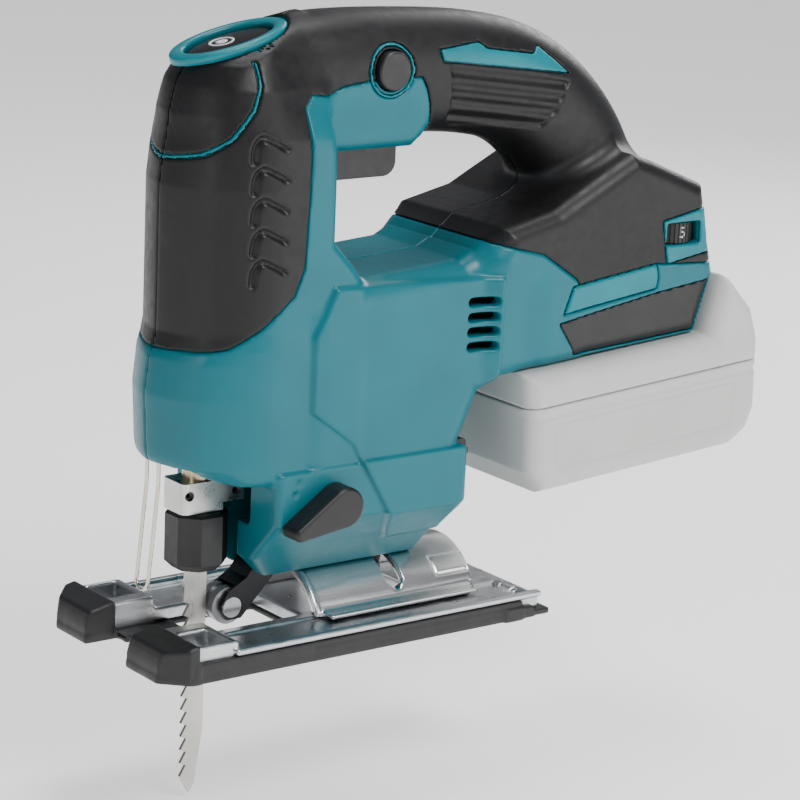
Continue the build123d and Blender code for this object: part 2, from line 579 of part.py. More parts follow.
# ---- switch, dial and electronics ---------------------------------------------------
with BuildPart() as trigger:
    with BuildSketch(SIDE.offset(-TRIGGER_HALF)):
        with BuildLine():
            Line((32, 164), (32, 153))
            ThreePointArc((32, 153), (33.5, 149), (37.5, 147.6))
            Line((37.5, 147.6), (61.5, 147.6))
            ThreePointArc((61.5, 147.6), (65, 148.9), (66.5, 152.5))
            Polyline((66.5, 152.5), (66.5, 164), (32, 164))
        make_face()
    extrude(amount=2 * TRIGGER_HALF)
    cut_box((60, 84), (-3, 3), (164.2, 166), Mode.ADD)
    cut_box((60, 66), (-3, 3), (163, 166), Mode.ADD)

with BuildPart() as trigger_spring:
    with BuildLine() as coil:
        Helix(2.4, 10.8, 2.6, center=(44, 0, 164.5))
    with BuildSketch(Plane(coil.line @ 0, z_dir=coil.line % 0)):
        Circle(0.35)
    sweep(is_frenet=True)

with BuildPart() as power_switch:
    cut_box((72, 106), (-10, 10), (172.5, 190), Mode.ADD)
    fillet(power_switch.edges().filter_by(Axis.Y), 1.5)
    cut_box((78, 84), (-3, 3), (172.3, 172.5), Mode.ADD)

with BuildPart() as lock_button:
    rod((LOCK_X, LOCK_Z), LOCK_R, -HANDLE_HALF - 1.6, HANDLE_HALF - 1.6)
    fillet(lock_button.edges().filter_by(GeomType.CIRCLE), 0.8)

with BuildPart() as speed_dial:
    with BuildSketch(Plane.XY.offset(DIAL_Z - 3.4)):
        with Locations((DIAL_X, DIAL_Y)):
            Circle(DIAL_R)
            with PolarLocations(DIAL_R, 36):
                Circle(0.35, mode=Mode.SUBTRACT)
    extrude(amount=6.8)
    rod((DIAL_X, DIAL_Y), 2, DIAL_Z - 6, DIAL_Z + 6, "Z")

with BuildPart() as controller_board:
    cut_box((106, 158), (-22, 22), (110, 111.6), Mode.ADD)
    cut_box((112, 124), (-14, -2), (111.6, 118), Mode.ADD)
    cut_box((128, 142), (-16, 6), (111.6, 115), Mode.ADD)
    rod((148, 10), 5, 111.6, 124, "Z")

with BuildPart() as battery_contacts:
    with BuildSketch(RAIL.offset(13.6)):
        with Locations((CONTACT_U, 0)):
            Rectangle(CONTACT_WINDOW[0] - 0.6, CONTACT_WINDOW[1] - 0.6)
    extrude(amount=5)
    with BuildSketch(RAIL.offset(5)):
        with Locations(*[(CONTACT_U, y) for y in CONTACT_ROWS]):
            Rectangle(20, 0.8)
    extrude(amount=8.6)

# ---- sole ---------------------------------------------------------------------------
SOLE_THICK, PLATE_TOP, RIM_TOP, OPENING_HALF = 2.2, 7.0, 8.6, 14.0
PRONG_TOP, BUMPER_REAR, PLATE_NOSE, PLATE_REAR_END = 11.0, -22.5, -9.0, 113.0
BOLT_WINDOW = ((56, 80), (-17, 17), (-1, 20))
RIVET_SPOTS, RIVET_R = ((-4, 23), (108, 20)), 1.5
SLOT_END = 35.0  # degrees above the sole at which the saddle's slot for the bolt ends

with BuildPart() as cover_plate:
    with BuildSketch():
        Polygon((SHOE_FRONT, -30), (SHOE_FRONT, 30), (-25, SHOE_HALF), (SHOE_REAR, SHOE_HALF),
                (SHOE_REAR, -SHOE_HALF), (-25, -SHOE_HALF), align=None)
    extrude(amount=SOLE_THICK)
    for side in (-1, 1):
        cut_box((-24, 104), sorted((side * 36.2, side * SHOE_HALF)), (0, 6.4), Mode.ADD)
        with BuildSketch(SIDE.offset(-side * 25)):
            Polygon((SHOE_FRONT, 0), (SHOE_FRONT, 10), (BUMPER_REAR, 12.6), (BUMPER_REAR, 0), align=None)
        extrude(amount=12.9, both=True)
    cut_box((-60, 0), (-6, 6), (-1, 20))
    cut_box((-60, SHOE_FRONT + 11.2), (-12, 12), (-1, 20))
    cut_box((-1, 31), (-OPENING_HALF, OPENING_HALF), (-1, 20))
    cut_box(*BOLT_WINDOW)
    for side in (-1, 1):
        cut_box((BUMPER_REAR - 6, BUMPER_REAR), sorted((side * 17, side * 34)), (SOLE_THICK, 10))

with BuildPart() as shoe_plate:
    cut_box((PLATE_NOSE, PLATE_REAR_END), (-35.9, 35.9), (SOLE_THICK, PLATE_TOP), Mode.ADD)
    for side in (-1, 1):
        cut_box((PLATE_NOSE, PLATE_REAR_END), sorted((side * 34.6, side * 37.8)), (6.4, RIM_TOP), Mode.ADD)
        cut_box((BUMPER_REAR - 5.9, PLATE_NOSE), sorted((side * 17.1, side * 33.9)),
                (SOLE_THICK, 9.9), Mode.ADD)
        cut_box((BUMPER_REAR, PLATE_NOSE), sorted((side * 14, side * 35.9)),
                (SOLE_THICK, PRONG_TOP), Mode.ADD)
        cut_box((BUMPER_REAR + 1.5, PLATE_NOSE - 1.5), sorted((side * 21, side * 34.4)), (4, 20))
        for x, y in RIVET_SPOTS:
            rod((x, side * y), RIVET_R, 0, 20, "Z", Mode.SUBTRACT)
    cut_box((-60, 31), (-OPENING_HALF, OPENING_HALF), (-1, 20))
    cut_box(*BOLT_WINDOW)
    with BuildSketch(Plane.YZ.offset(-60)):
        Polygon((-OPENING_HALF - 3, PLATE_TOP), (-OPENING_HALF, 4), (OPENING_HALF, 4),
                (OPENING_HALF + 3, PLATE_TOP), align=None)
    extrude(amount=91, mode=Mode.SUBTRACT)

with BuildPart() as shoe_rivets:
    for x, y in RIVET_SPOTS:
        for side in (-1, 1):
            rod((x, side * y), RIVET_R, SOLE_THICK, PLATE_TOP + 0.4, "Z")

with BuildPart() as bevel_saddle:
    rod((0, 0), SADDLE_R, SADDLE_FRONT, SADDLE_REAR, "X")
    rod((0, 0), SADDLE_R - SADDLE_WALL, SADDLE_FRONT, SADDLE_REAR, "X", Mode.SUBTRACT)
    cut_box((0, 200), (-40, 40), (-40, PLATE_TOP))
    with BuildSketch(Plane.YZ.offset(BOLT_X - 3.2)):
        reach = 40
        side = reach * tan(radians(SLOT_END))
        Polygon((0, 0), (-reach, side), (-reach, reach), (reach, reach), (reach, side), align=None)
    extrude(amount=6.4, mode=Mode.SUBTRACT)

with BuildPart() as shoe_bolt:
    rod((BOLT_X, 0), 5, 12.6, 17.4, "Z")
    rod((BOLT_X, 0), 2.5, 17.4, 33.8, "Z")
    with BuildSketch(Plane.XY.offset(12.6)):
        with Locations((BOLT_X, 0)):
            RegularPolygon(2.6, 6)
    extrude(amount=2.6, mode=Mode.SUBTRACT)

# ---- hex key on the back of the foot ------------------------------------------------
KEY_X, KEY_Z, KEY_R = 85.6, 58.0, 1.6

with BuildPart() as hex_key:
    with BuildLine() as key_line:
        FilletPolyline((KEY_X, -27, KEY_Z), (KEY_X, 22, KEY_Z), (KEY_X, 22, KEY_Z - 18), radius=4)
    with BuildSketch(Plane((KEY_X, -27, KEY_Z), z_dir=(0, 1, 0))):
        RegularPolygon(KEY_R, 6)
    sweep()

with BuildPart() as hex_key_clips:
    for y in (-24, 8):
        cut_box((FOOT_REAR, KEY_X + 2.6), (y, y + 6), (KEY_Z - 3.2, KEY_Z + 3.2), Mode.ADD)
    fillet(hex_key_clips.edges().filter_by(Axis.Y).group_by(Axis.X)[-1], 1)
    with BuildSketch(Plane((KEY_X, -27, KEY_Z), z_dir=(0, 1, 0))):
        RegularPolygon(KEY_R, 6)
    extrude(amount=60, mode=Mode.SUBTRACT)

# ---- battery pack -------------------------------------------------------------------
PACK_SIDE = [(-6, -CLEAR), (-6, -34), (-1, -PACK_DEPTH), (84, -PACK_DEPTH), (92, -38), (96, -30),
             (97, -5), (94, 6), (84, 18), (81.2, 19.5), (73.2, -CLEAR)]
PACK_SEAM, CELL_PITCH, CELL_R, CELL_HALF = -12.0, 18.4, 9.1, 32.6
LATCH_U, LATCH_W, LATCH_HALF, LATCH_TRAVEL = 97.0, (-8.0, 2.0), 14.0, 3.0


def pack_slab(low, high, inset):
    """The pack's form between two heights above the rail, drawn in by the inset."""
    with BuildPart() as block:
        with BuildSketch(RAIL_SIDE.offset(-(PACK_HALF - inset))):
            Polygon(*PACK_SIDE, align=None)
            if inset:
                offset(amount=-inset, kind=Kind.INTERSECTION)
            with Locations((45, (low + high) / 2)):
                Rectangle(200, high - low, mode=Mode.INTERSECT)
        extrude(amount=2 * (PACK_HALF - inset))
        if not inset:
            fillet(block.edges().filter_by(Axis.Z, tolerance=10), 5)
    return block.part


with BuildPart() as battery_lower_case:
    add(pack_slab(-60, PACK_SEAM, 0))
    add(pack_slab(-60, PACK_SEAM + 1, 1.9), mode=Mode.SUBTRACT)

with BuildPart() as battery_upper_case:
    add(pack_slab(PACK_SEAM, 60, 0))
    add(pack_slab(PACK_SEAM - 5, 60, 1.9), mode=Mode.SUBTRACT)
    with BuildSketch(RAIL.offset(-2)):
        with Locations((40, 0)):
            Rectangle(78, 40)
    extrude(amount=6)
    with BuildSketch(RAIL.offset(2.9)):
        with Locations((40, 0)):
            Rectangle(78, 46)
    extrude(amount=10)
    for y in CONTACT_ROWS:
        with BuildSketch(RAIL.offset(4)):
            with Locations((18, y)):
                Rectangle(36, 2.4)
        extrude(amount=20, mode=Mode.SUBTRACT)
    # Pocket that the latch slides down in.
    with BuildSketch(RAIL_SIDE.offset(-LATCH_HALF - CLEAR)):
        Polygon((LATCH_U - 3, LATCH_W[0] - LATCH_TRAVEL - CLEAR), (LATCH_U - 3, LATCH_W[1] + CLEAR),
                (LATCH_U + 5, LATCH_W[1] + CLEAR), (LATCH_U + 5, LATCH_W[0] - LATCH_TRAVEL - CLEAR),
                align=None)
    extrude(amount=2 * (LATCH_HALF + CLEAR), mode=Mode.SUBTRACT)

with BuildPart() as battery_cells:
    for row in (-30.6, -12.0):
        for column in range(5):
            with BuildSketch(RAIL_SIDE.offset(-CELL_HALF)):
                with Locations((6.5 + CELL_PITCH * column, row)):
                    Circle(CELL_R)
            extrude(amount=2 * CELL_HALF)

with BuildPart() as battery_latch:
    with BuildSketch(RAIL_SIDE.offset(-LATCH_HALF)):
        Polygon((LATCH_U - 2.6, LATCH_W[0]), (LATCH_U + 1.2, LATCH_W[0]), (LATCH_U + 1.2, LATCH_W[1] - 2),
                (LATCH_U - 0.4, LATCH_W[1]), (LATCH_U - 2.6, LATCH_W[1]), align=None)
    extrude(amount=2 * LATCH_HALF)

# ---- files --------------------------------------------------------------------------
PIECES = {
    "left_housing": left_housing, "right_housing": right_housing, "left_grip": left_grip,
    "right_grip": right_grip, "side_trims": side_trims, "rail_panels": rail_panels,
    "dial_frame": dial_frame, "housing_screws": housing_screws, "top_bezel": top_bezel,
    "mode_button": mode_button, "wire_guard": wire_guard, "plunger_bushes": plunger_bushes,
    "gear_housing": gear_housing, "crank_bearing": crank_bearing,
    "front_motor_bearing": front_motor_bearing, "rear_motor_bearing": rear_motor_bearing,
    "crank_gear": crank_gear, "crank_pin": crank_pin, "crank_shaft": crank_shaft,
    "counterweight": counterweight, "motor_shaft": motor_shaft, "pinion": pinion,
    "rotor_core": rotor_core, "cooling_fan": cooling_fan, "motor_stator": motor_stator,
    "stator_windings": stator_windings, "motor_end_plate": motor_end_plate, "plunger": plunger,
    "scotch_yoke": scotch_yoke, "blade": blade, "clamp_block": clamp_block,
    "clamp_screws": clamp_screws, "clamp_sleeve": clamp_sleeve, "roller_arm": roller_arm,
    "roller_pin": roller_pin, "roller": roller, "roller_arm_pin": roller_arm_pin,
    "orbital_lever": orbital_lever, "orbital_cam": orbital_cam, "trigger": trigger,
    "trigger_spring": trigger_spring, "power_switch": power_switch, "lock_button": lock_button,
    "speed_dial": speed_dial, "controller_board": controller_board,
    "battery_contacts": battery_contacts, "cover_plate": cover_plate, "shoe_plate": shoe_plate,
    "shoe_rivets": shoe_rivets, "bevel_saddle": bevel_saddle, "shoe_bolt": shoe_bolt,
    "hex_key": hex_key, "hex_key_clips": hex_key_clips, "battery_lower_case": battery_lower_case,
    "battery_upper_case": battery_upper_case, "battery_cells": battery_cells,
    "battery_latch": battery_latch,
}

for label, piece in PIECES.items():
    piece.part.label = label
    export_step(piece.part, f"parts/{label}.step")
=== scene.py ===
import json
import math

import bpy
import numpy as np
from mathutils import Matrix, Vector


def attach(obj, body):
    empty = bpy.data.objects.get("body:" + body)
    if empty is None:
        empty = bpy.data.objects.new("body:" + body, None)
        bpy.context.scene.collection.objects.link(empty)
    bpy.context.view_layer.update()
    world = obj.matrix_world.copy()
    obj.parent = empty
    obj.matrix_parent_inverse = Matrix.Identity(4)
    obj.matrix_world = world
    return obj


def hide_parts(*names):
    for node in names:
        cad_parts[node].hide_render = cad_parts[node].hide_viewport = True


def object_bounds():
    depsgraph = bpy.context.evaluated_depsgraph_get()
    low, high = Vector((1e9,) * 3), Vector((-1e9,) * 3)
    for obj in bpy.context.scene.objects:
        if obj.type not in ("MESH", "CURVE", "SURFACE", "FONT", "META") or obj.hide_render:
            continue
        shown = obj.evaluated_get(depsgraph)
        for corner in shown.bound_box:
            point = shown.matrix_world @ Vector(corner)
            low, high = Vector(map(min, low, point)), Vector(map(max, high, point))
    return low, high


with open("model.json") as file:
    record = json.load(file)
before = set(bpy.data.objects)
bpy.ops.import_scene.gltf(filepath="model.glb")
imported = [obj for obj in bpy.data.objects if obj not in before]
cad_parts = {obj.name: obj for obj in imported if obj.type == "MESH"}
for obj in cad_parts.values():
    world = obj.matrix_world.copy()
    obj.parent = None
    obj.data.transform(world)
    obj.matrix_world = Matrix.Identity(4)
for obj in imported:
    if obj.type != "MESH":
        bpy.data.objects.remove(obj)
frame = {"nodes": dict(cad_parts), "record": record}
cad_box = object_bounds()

import openvdb
from mathutils import Matrix, Vector

MM = 0.001
nodes = frame["nodes"]

# ---- distance fields ------------------------------------------------------------------
# A field is below zero inside its shape. u and v are any two of the grid's coordinates.


class Grid:
    """A block of sample points, with its coordinates ready to combine."""

    def __init__(self, low, high, step):
        self.low = np.array(low, float)
        self.step = step
        axes = [np.arange(a, b + step, step, dtype=np.float32) for a, b in zip(low, high)]
        self.x, self.y, self.z = np.meshgrid(*axes, indexing="ij", sparse=True)


def meet(a, b, r=0.6):
    """What two shapes share, with the edge between them rounded."""
    outer = np.hypot(np.maximum(a + r, 0), np.maximum(b + r, 0))
    return np.minimum(np.maximum(a, b) + r, 0) + outer - r


def join(a, b, r=0.6):
    """Two shapes together, with a fillet in the corner between them."""
    return -meet(-a, -b, r)


def cut(a, b, r=0.6):
    """The first shape without the second, with the cut's edge rounded."""
    return meet(a, -b, r)


def segments(u, v, points):
    """For each straight piece of a line, its ends and the squared distance to it."""
    for (u0, v0), (u1, v1) in zip(points, points[1:]):
        du, dv = u1 - u0, v1 - v0
        along = np.clip(((u - u0) * du + (v - v0) * dv) / (du * du + dv * dv), 0, 1)
        yield u0, v0, u1, v1, (u - u0 - along * du) ** 2 + (v - v0 - along * dv) ** 2


def outline(u, v, points):
    """Distance to a closed outline."""
    nearest, inside = np.inf, False
    for u0, v0, u1, v1, square in segments(u, v, points + points[:1]):
        nearest = np.minimum(nearest, square)
        if v0 != v1:
            crossing = u0 + (u1 - u0) * (v - v0) / (v1 - v0)
            inside = inside ^ (((v0 <= v) != (v1 <= v)) & (u < crossing))
    return np.where(inside, -1, 1) * np.sqrt(nearest)


def stroke(u, v, points):
    """Distance to an open line."""
    nearest = np.inf
    for *_, square in segments(u, v, points):
        nearest = np.minimum(nearest, square)
    return np.sqrt(nearest)


def between(v, low, high):
    """Distance to the layer between two values."""
    return np.abs(v - (low + high) / 2) - (high - low) / 2


def block(u, v, w, u_range, v_range, w_range, r=0.6):
    """A box between two values along each axis, with rounded edges."""
    sides = meet(between(u, *u_range), between(v, *v_range), r)
    return meet(sides, between(w, *w_range), r)


def disc(u, v, centre, radius):
    return np.hypot(u - centre[0], v - centre[1]) - radius


def ramp(distance, width):
    """1 inside and 0 outside, eased over a width centred on the edge."""
    t = np.clip(0.5 - distance / width, 0, 1)
    return t * t * (3 - 2 * t)


def curve(points, per_span=6):
    """A smooth line through the points."""
    ends = [2 * np.array(points[0]) - points[1], *map(np.array, points),
            2 * np.array(points[-1]) - points[-2]]
    line = []
    for a, b, c, d in zip(ends, ends[1:], ends[2:], ends[3:]):
        for t in np.arange(per_span) / per_span:
            line.append(tuple(0.5 * (2 * b + (c - a) * t + (2 * a - 5 * b + 4 * c - d) * t * t
                                     + (3 * b - a - 3 * c + d) * t ** 3)))
    return line + [tuple(points[-1])]


def kept_faces(count, faces, fewest=80):
    """The faces that aren't in a stray island of fewer than so many faces."""
    label = np.arange(count)
    while True:
        lowest = label.copy()
        np.minimum.at(lowest, faces.ravel(), np.repeat(label[faces].min(1), faces.shape[1]))
        lowest = lowest[lowest]
        if np.array_equal(lowest, label):
            break
        label = lowest
    sizes = np.bincount(label[faces[:, 0]], minlength=count)
    return faces[sizes[label[faces[:, 0]]] >= fewest]


def mesh_from_field(name, field, grid, side=1, turn=None):
    """A smooth closed mesh on the field's surface. Side -1 mirrors it to negative Y."""
    volume = openvdb.FloatGrid(10.0)
    volume.copyFromArray(np.ascontiguousarray(field, np.float32))
    points, faces = volume.convertToQuads(0.0)
    faces = kept_faces(len(points), faces.astype(np.int64))
    used, faces = np.unique(faces, return_inverse=True)
    faces = faces.reshape(-1, 4)
    co = (grid.low + points[used] * grid.step) * (1, side, 1) * MM
    a, b, c = (co[faces[:, i]] for i in (0, 1, 2))
    if np.einsum("ij,ij->", a, np.cross(b, c)) < 0:
        faces = faces[:, ::-1]
    mesh = bpy.data.meshes.new(name)
    mesh.vertices.add(len(co))
    mesh.vertices.foreach_set("co", co.astype(np.float32).ravel())
    mesh.loops.add(faces.size)
    mesh.loops.foreach_set("vertex_index", faces.astype(np.int32).ravel())
    mesh.polygons.add(len(faces))
    mesh.polygons.foreach_set("loop_start", np.arange(len(faces), dtype=np.int32) * 4)
    mesh.polygons.foreach_set("use_smooth", np.ones(len(faces), bool))
    if turn is not None:
        mesh.transform(turn)
    mesh.update(calc_edges=True)
    mesh.validate()
    return mesh


def add_piece(name, mesh, material, body, *replaced):
    """A mesh as a piece that rides on a body, in place of some CAD nodes."""
    piece = bpy.data.objects.new(name, mesh)
    bpy.context.scene.collection.objects.link(piece)
    mesh.materials.clear()
    mesh.materials.append(materials[material])
    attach(piece, body)
    if replaced:
        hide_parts(*replaced)
    return piece


# ---- camera, light and floor ----------------------------------------------------------
AZIMUTH, ELEVATION, ROLL = (math.radians(a) for a in (-37.22, 14.49, 2.495))
back = Vector((math.sin(AZIMUTH) * math.cos(ELEVATION), -math.cos(AZIMUTH) * math.cos(ELEVATION),
               math.sin(ELEVATION)))
right = (-back).cross(Vector((0, 0, 1))).normalized()
up = back.cross(right)
camera = bpy.data.objects.new("camera", bpy.data.cameras.new("camera"))
bpy.context.scene.collection.objects.link(camera)
camera.data.lens, camera.data.sensor_width = 133.4, 36
camera.data.clip_start = 0.05
rolled_x = math.cos(ROLL) * right + math.sin(ROLL) * up
rolled_y = math.cos(ROLL) * up - math.sin(ROLL) * right
camera.matrix_world = (Matrix.Translation((-0.4977, -0.7587, 0.3159))
                       @ Matrix((rolled_x, rolled_y, back)).transposed().to_4x4())
bpy.context.scene.camera = camera


def area_light(name, place, target, size, power):
    data = bpy.data.lights.new(name, "AREA")
    data.shape, data.size, data.energy = "DISK", size, power
    light = bpy.data.objects.new(name, data)
    light.location = place
    light.rotation_euler = (Vector(target) - Vector(place)).to_track_quat("-Z", "Y").to_euler()
    bpy.context.scene.collection.objects.link(light)


middle = (0.085, 0, 0.08)
area_light("key_light", (0.15, -0.85, 1.0), middle, 0.55, 11)
area_light("top_light", (0.25, 0.15, 1.2), middle, 0.6, 7)
area_light("front_light", (-1.2, -0.25, 0.35), middle, 0.4, 1.6)
area_light("rear_light", (1.0, 0.5, 0.6), middle, 0.6, 5)
area_light("fill_light", (0.75, -1.0, 0.2), middle, 0.8, 4)
world = bpy.data.worlds.new("world")
world.use_nodes = True
world.node_tree.nodes["Background"].inputs["Color"].default_value = (0.93, 0.95, 1, 1)
world.node_tree.nodes["Background"].inputs["Strength"].default_value = 0.22
bpy.context.scene.world = world

# ---- materials ------------------------------------------------------------------------


def plain_material(name, colour, metallic=0.0, **sockets):
    material = bpy.data.materials.new(name)
    material.use_nodes = True
    shader = material.node_tree.nodes["Principled BSDF"]
    shader.inputs["Base Color"].default_value = (*colour, 1)
    shader.inputs["Metallic"].default_value = metallic
    for socket, value in sockets.items():
        shader.inputs[socket.replace("_", " ")].default_value = value
    return material, shader


def noise(tree, scale, detail=3.0, stretch=(1, 1, 1)):
    """A noise texture in object space; the scale is in features per metre."""
    place = tree.nodes.new("ShaderNodeTexCoord")
    mapping = tree.nodes.new("ShaderNodeMapping")
    mapping.inputs["Scale"].default_value = stretch
    texture = tree.nodes.new("ShaderNodeTexNoise")
    texture.inputs["Scale"].default_value = scale
    texture.inputs["Detail"].default_value = detail
    tree.links.new(place.outputs["Object"], mapping.inputs["Vector"])
    tree.links.new(mapping.outputs["Vector"], texture.inputs["Vector"])
    return texture.outputs["Fac"]


def spread(tree, value, low, high):
    """A noise value remapped so that its usual range runs from low to high."""
    node = tree.nodes.new("ShaderNodeMapRange")
    node.inputs["From Min"].default_value = 0.3
    node.inputs["From Max"].default_value = 0.7
    node.inputs["To Min"].default_value = low
    node.inputs["To Max"].default_value = high
    tree.links.new(value, node.inputs["Value"])
    return node.outputs["Result"]


def finish_surface(name, colour, other, rough, grain, depth, cloud=45, stretch=(1, 1, 1),
                   metallic=0.0, **sockets):
    """Two close colours in soft clouds, uneven gloss, and a fine grain in relief."""
    material, shader = plain_material(name, colour, metallic, **sockets)
    tree = material.node_tree
    mix = tree.nodes.new("ShaderNodeMix")
    mix.data_type = "RGBA"
    mix.inputs["A"].default_value = (*colour, 1)
    mix.inputs["B"].default_value = (*other, 1)
    tree.links.new(spread(tree, noise(tree, cloud), 0, 1), mix.inputs["Factor"])
    tree.links.new(mix.outputs["Result"], shader.inputs["Base Color"])
    tree.links.new(spread(tree, noise(tree, grain / 6, 4, stretch), *rough),
                   shader.inputs["Roughness"])
    bump = tree.nodes.new("ShaderNodeBump")
    bump.inputs["Strength"].default_value = 0.5
    bump.inputs["Distance"].default_value = depth * MM
    tree.links.new(noise(tree, grain, 2, stretch), bump.inputs["Height"])
    tree.links.new(bump.outputs["Normal"], shader.inputs["Normal"])
    return material


ALONG_X, ALONG_Z = (0.04, 1, 1), (1, 1, 0.04)
TEAL, TEAL_DARK, TEAL_PALE = (0.0, 0.155, 0.195), (0.0, 0.135, 0.172), (0.0, 0.215, 0.26)
BLACK, BLACK_PALE = (0.0065, 0.0065, 0.007), (0.010, 0.010, 0.011)
SOFT = {"Specular_IOR_Level": 0.38}
SURFACES = {
    # slot: (colour, second colour, roughness range, grain per metre, relief in mm, more)
    "teal_shell": (TEAL, TEAL_DARK, (0.30, 0.40), 1500, 0.05, SOFT),
    "teal_trim": (TEAL_PALE, TEAL, (0.28, 0.38), 1500, 0.04, SOFT),
    "soft_grip": (BLACK, BLACK_PALE, (0.38, 0.50), 1900, 0.07, SOFT),
    "black_plastic": (BLACK, BLACK_PALE, (0.36, 0.48), 1600, 0.05, {}),
    "shoe_plastic": ((0.012, 0.012, 0.013), BLACK_PALE, (0.42, 0.55), 1300, 0.08, {}),
    "trigger_plastic": ((0.016, 0.016, 0.017), BLACK, (0.34, 0.46), 1700, 0.05, {}),
    "lever_plastic": ((0.007, 0.007, 0.008), BLACK, (0.36, 0.46), 1500, 0.05, {}),
    "gloss_button": ((0.006, 0.006, 0.007), BLACK, (0.22, 0.30), 900, 0.01, {"Specular_IOR_Level": 0.3}),
    "pack_plastic": ((0.56, 0.56, 0.545), (0.60, 0.60, 0.59), (0.42, 0.54), 1300, 0.06, {}),
    "pack_latch": ((0.46, 0.46, 0.45), (0.42, 0.42, 0.41), (0.40, 0.50), 1300, 0.06, {}),
    "contact_block": ((0.03, 0.03, 0.03), BLACK, (0.4, 0.5), 1500, 0.04, {}),
    "cell_wrap": ((0.25, 0.30, 0.04), (0.22, 0.27, 0.03), (0.25, 0.35), 700, 0.02, {}),
    "green_board": ((0.01, 0.10, 0.03), (0.01, 0.14, 0.05), (0.3, 0.45), 900, 0.05, {}),
}
METALS = {
    # slot: (colour, second colour, roughness range, grain per metre, relief in mm, more)
    "shoe_metal": ((0.60, 0.61, 0.62), (0.52, 0.53, 0.55), (0.26, 0.42), 1500, 0.09, {}),
    "saddle_metal": ((0.82, 0.82, 0.82), (0.72, 0.73, 0.74), (0.16, 0.30), 1800, 0.03,
                     {"stretch": ALONG_X}),
    "cast_aluminium": ((0.62, 0.62, 0.62), (0.52, 0.52, 0.53), (0.38, 0.55), 900, 0.15, {}),
    "bearing_steel": ((0.70, 0.70, 0.71), (0.60, 0.60, 0.61), (0.14, 0.26), 1500, 0.02, {}),
    "gear_steel": ((0.42, 0.42, 0.44), (0.34, 0.34, 0.36), (0.28, 0.42), 1500, 0.05, {}),
    "lamination_steel": ((0.38, 0.38, 0.40), (0.30, 0.30, 0.32), (0.35, 0.5), 1600, 0.1,
                         {"stretch": (1, 0.04, 0.04)}),
    "plunger_steel": ((0.62, 0.52, 0.36), (0.50, 0.40, 0.26), (0.20, 0.34), 1800, 0.03,
                      {"stretch": ALONG_Z}),
    "blade_steel": ((0.66, 0.64, 0.60), (0.52, 0.50, 0.46), (0.22, 0.40), 2000, 0.04,
                    {"stretch": ALONG_Z}),
    "clamp_metal": ((0.70, 0.69, 0.66), (0.60, 0.59, 0.57), (0.24, 0.38), 1400, 0.08, {}),
    "blackened_steel": ((0.060, 0.060, 0.064), (0.045, 0.045, 0.048), (0.30, 0.46), 1200, 0.08, {}),
    "dark_screw": ((0.10, 0.10, 0.105), (0.07, 0.07, 0.075), (0.28, 0.42), 1500, 0.04, {}),
    "bright_wire": ((0.78, 0.74, 0.64), (0.68, 0.64, 0.54), (0.18, 0.30), 1800, 0.02, {}),
    "bronze": ((0.62, 0.40, 0.18), (0.52, 0.33, 0.14), (0.28, 0.40), 1200, 0.06, {}),
    "copper": ((0.75, 0.36, 0.18), (0.62, 0.28, 0.13), (0.22, 0.36), 2600, 0.08,
               {"stretch": ALONG_X}),
}
materials = {}
for group, metallic in ((SURFACES, 0.0), (METALS, 1.0)):
    for slot_name, (colour, other, rough, grain, depth, more) in group.items():
        materials[slot_name] = finish_surface(slot_name, colour, other, rough, grain, depth,
                                              metallic=metallic, **more)
materials["floor"] = finish_surface("floor", (0.86, 0.86, 0.86), (0.84, 0.84, 0.84),
                                    (0.55, 0.65), 120, 0.02, cloud=2)
floor_shader = materials["floor"].node_tree.nodes["Principled BSDF"]
floor_shader.inputs["Emission Color"].default_value = (1, 1, 1, 1)
floor_shader.inputs["Emission Strength"].default_value = 0.75
materials["white_mark"] = finish_surface("white_mark", (0.80, 0.80, 0.80), (0.74, 0.74, 0.74),
                                         (0.35, 0.45), 1500, 0.02)

# ---- floor ----------------------------------------------------------------------------
FLOOR_HALF, FLOOR_GAP = 6.0, 0.002
floor_mesh = bpy.data.meshes.new("floor")
floor_z = cad_box[0][2] - FLOOR_GAP
corners = [(x * FLOOR_HALF, y * FLOOR_HALF, floor_z) for x, y in ((-1, -1), (1, -1), (1, 1), (-1, 1))]
floor_mesh.from_pydata(corners, [], [(0, 1, 2, 3)])
floor = bpy.data.objects.new("floor", floor_mesh)
floor_mesh.materials.append(materials["floor"])
bpy.context.scene.collection.objects.link(floor)

# ---- the casing's form ----------------------------------------------------------------
NOSE_MIDDLE, FACET_SLOPE, RIDGE_SOFT = 11.5, 0.42, 4.0
NOSE_FRONT = [(56, -14), (60, -17), (62, -20.7), (66, -21.3), (84, -22.3), (96, -20.8), (100, -19.4),
              (104, -18.5), (150, -18.5), (160, -17.3), (172, -15), (181, -11.5), (187, -6.5),
              (191, 2), (195, 14), (199, 28)]
NOSE_HALF = [(50, 28.4), (100, 28.9), (106, 28.4), (150, 28.3), (165, 27.6), (180, 24), (191, 17.5),
             (200, 9)]
NOSE_SIDE = [(-60, 60), (-17, 60.5), (0, 56), (42, 55.5), (42, 119), (39, 123.6), (31, 132),
             (31, 199.2), (24, 198), (8, 193.5), (-5, 188.5), (-14, 184.2), (-60, 184)]
BODY = [(20, 112), (32, 118.5), (52, 119.3), (82, 121.5), (92, 126.7), (130, 132), (130, 85.5),
        (92, 82), (83, 62), (83, 50), (20, 50)]
REAR = [(92, 122), (97, 131), (117, 135.5), (127, 140.6), (150, 152), (159, 149), (181, 140),
        (184, 126), (188.5, 108.5), (181.8, 88), (92, 82)]
HANDLE_LINE = curve([(8, 176), (30, 180), (50, 181), (80, 180), (98, 178.3), (113, 175), (126, 168.5),
                     (138, 158), (147, 145), (152, 130)])
HANDLE_HALF, HANDLE_RISE, HANDLE_POWER, HANDLE_NECK = 18.0, 20.0, 2.3, 8.0
